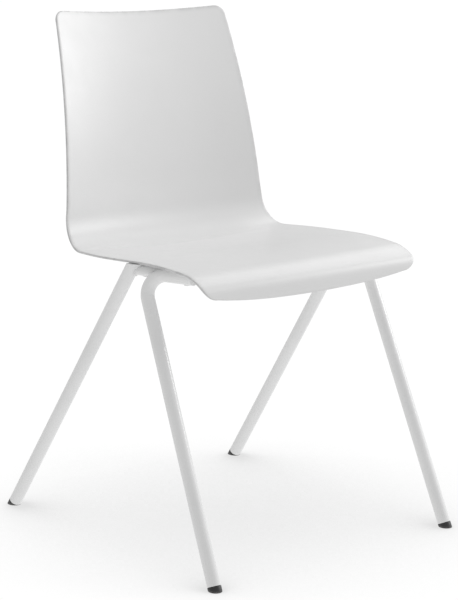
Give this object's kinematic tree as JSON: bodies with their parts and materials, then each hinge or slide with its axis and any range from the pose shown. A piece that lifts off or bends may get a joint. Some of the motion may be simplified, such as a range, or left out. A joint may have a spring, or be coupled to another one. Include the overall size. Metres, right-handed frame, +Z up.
{
  "type": "stacking chair",
  "caption": "One-piece moulded plastic seat and back shell screwed to a welded round-tube frame with splayed legs and black foot glides.",
  "frame": {"origin": "On the floor, midway between the left and right feet, below the seat.", "axes": "+Z up, the chair faces -Y, +X is the sitter's left."},
  "size_m": [0.5184, 0.5915, 0.8547],
  "materials": {
    "seat_plastic": "fine-grained light grey moulded plastic",
    "frame_paint": "light grey satin powder coat",
    "black_plastic": "black semi-gloss moulded plastic",
    "zinc_steel": "bright zinc plate",
    "brass": "plain turned brass"
  },
  "bodies": {
    "root": {"seat_shell": "seat_plastic", "front_cross_tube": "frame_paint", "rear_seat_hoop": "frame_paint", "front_left_leg": "frame_paint", "rear_left_leg": "frame_paint", "left_side_rail": "frame_paint", "front_left_glide": "black_plastic", "rear_left_glide": "black_plastic", "front_left_rail_plug": "seat_plastic", "rear_left_leg_cap": "seat_plastic", "front_left_stacking_pad": "black_plastic", "rear_left_stacking_pad": "black_plastic", "front_right_leg": "frame_paint", "rear_right_leg": "frame_paint", "right_side_rail": "frame_paint", "front_right_glide": "black_plastic", "rear_right_glide": "black_plastic", "front_right_rail_plug": "seat_plastic", "rear_right_leg_cap": "seat_plastic", "front_right_stacking_pad": "black_plastic", "rear_right_stacking_pad": "black_plastic", "front_left_mount_plate": "frame_paint", "front_left_insert": "brass", "front_left_screw": "zinc_steel", "front_left_washer": "zinc_steel", "front_right_mount_plate": "frame_paint", "front_right_insert": "brass", "front_right_screw": "zinc_steel", "front_right_washer": "zinc_steel", "rear_left_mount_plate": "frame_paint", "rear_left_insert": "brass", "rear_left_screw": "zinc_steel", "rear_left_washer": "zinc_steel", "rear_right_mount_plate": "frame_paint", "rear_right_insert": "brass", "rear_right_screw": "zinc_steel", "rear_right_washer": "zinc_steel"}
  },
  "joints": []
}
